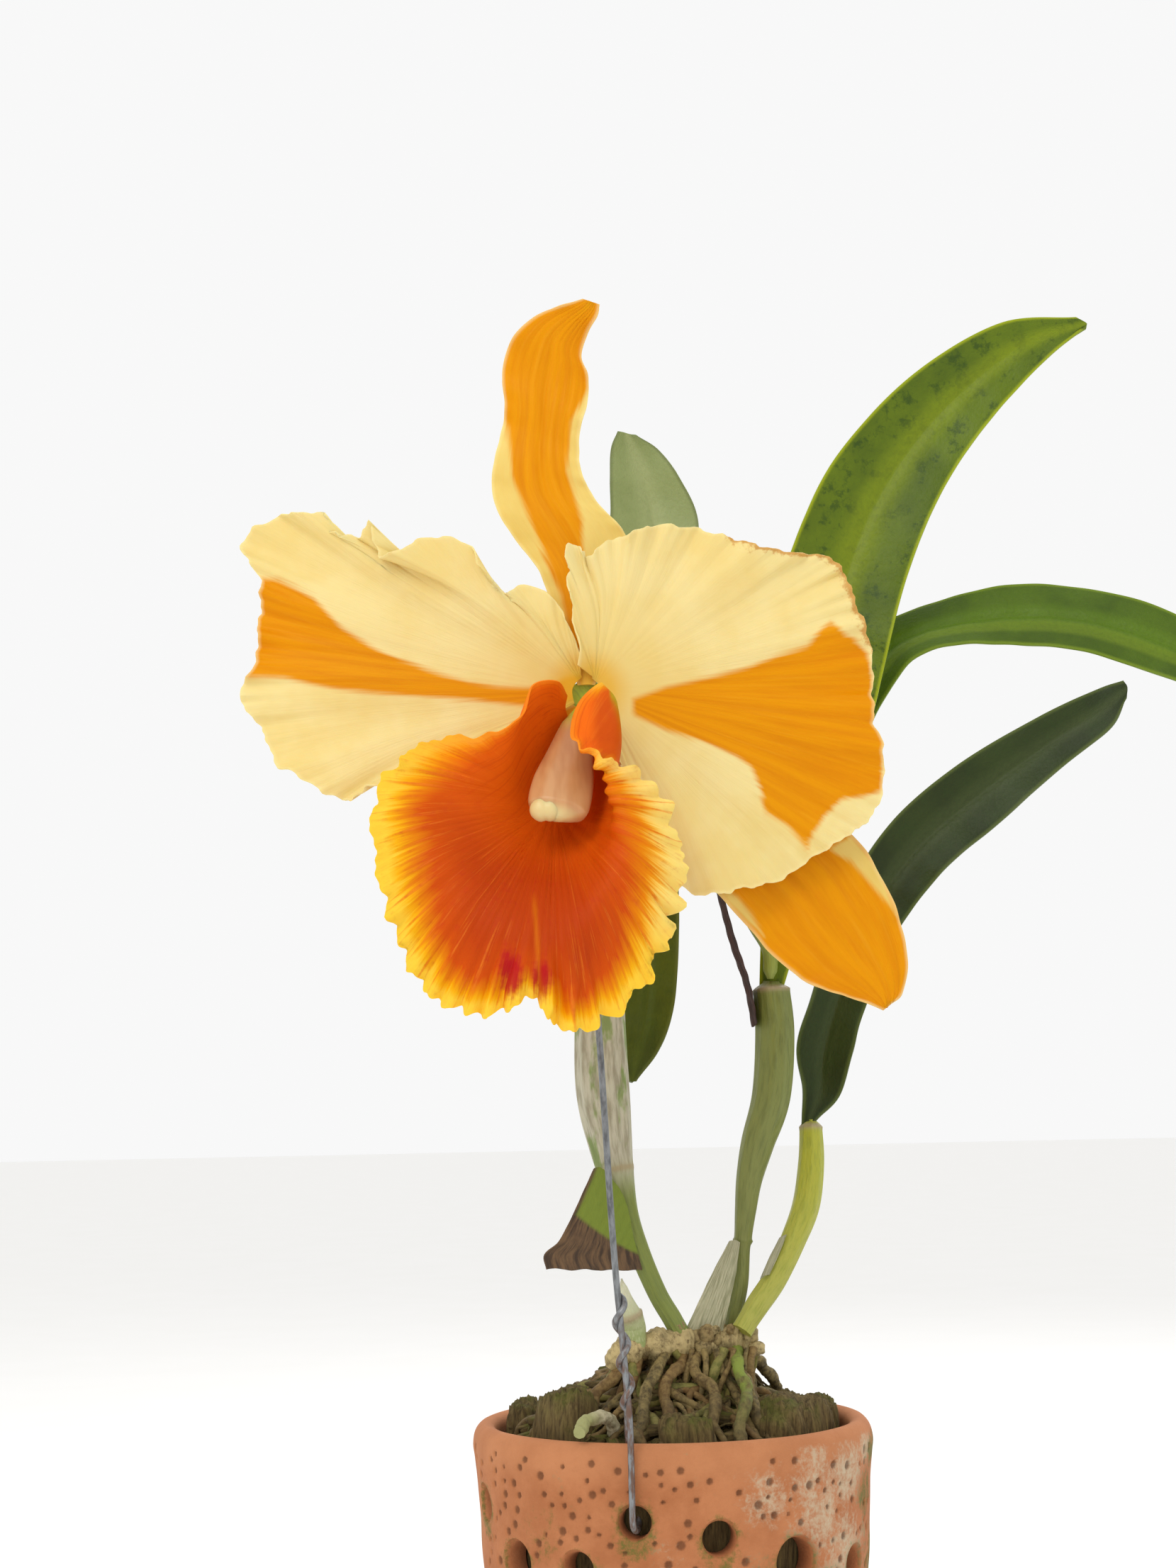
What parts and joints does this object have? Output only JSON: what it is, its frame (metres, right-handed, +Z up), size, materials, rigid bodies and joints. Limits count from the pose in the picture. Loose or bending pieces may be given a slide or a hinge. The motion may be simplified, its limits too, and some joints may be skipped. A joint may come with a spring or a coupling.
{
  "type": "potted cattleya orchid",
  "caption": "Cattleya orchid in bloom in a round terracotta pot with side holes, its flower held by a stiff wire; stands on the pot's base.",
  "frame": {"origin": "centre of the pot's flat base, where the object stands", "axes": "+Z up along the pot's axis; -Y the way the flower faces, +X to the right of someone looking at its front"},
  "size_m": [0.2699, 0.166, 0.3872],
  "materials": {
    "terracotta": "matte fired clay",
    "coconut_husk": "rough, damp",
    "root_bark": "rough, fibrous",
    "pale_root": "matte",
    "pseudobulb_olive": "waxy, ribbed",
    "pseudobulb_lime": "waxy",
    "pseudobulb_paper": "dry papery skin",
    "shoot": "waxy",
    "sheath_paper": "dry, papery",
    "spathe_brown": "dry, papery",
    "leaf_cut": "waxy, dead along one side",
    "leaf_yellow_green": "waxy, mottled",
    "leaf_bright": "waxy",
    "leaf_dark": "waxy",
    "leaf_grey": "dull, waxy",
    "leaf_olive": "waxy",
    "flower_stalk": "waxy",
    "sepal": "satin",
    "petal": "satin",
    "lip": "velvety",
    "column": "waxy",
    "galvanised_wire": "dull zinc"
  },
  "bodies": {
    "root": {"terracotta_pot": "terracotta", "growing_medium": "coconut_husk", "rhizome_with_roots": "root_bark", "pale_root": "pale_root", "pseudobulb_a": "pseudobulb_olive", "pseudobulb_b": "pseudobulb_lime", "pseudobulb_c": "pseudobulb_paper", "young_shoot": "shoot", "pale_sheath": "sheath_paper", "sheath_scrap": "sheath_paper", "spathe": "spathe_brown", "cut_leaf": "leaf_cut", "leaf_a1": "leaf_yellow_green", "leaf_a2": "leaf_bright", "leaf_b1": "leaf_dark", "leaf_c1": "leaf_grey", "leaf_c2": "leaf_olive", "flower_stalk": "flower_stalk", "dorsal_sepal": "sepal", "lateral_sepal_left": "sepal", "lateral_sepal_right": "sepal", "petal_left": "petal", "petal_right": "petal", "lip": "lip", "column": "column", "wire": "galvanised_wire"}
  },
  "joints": []
}
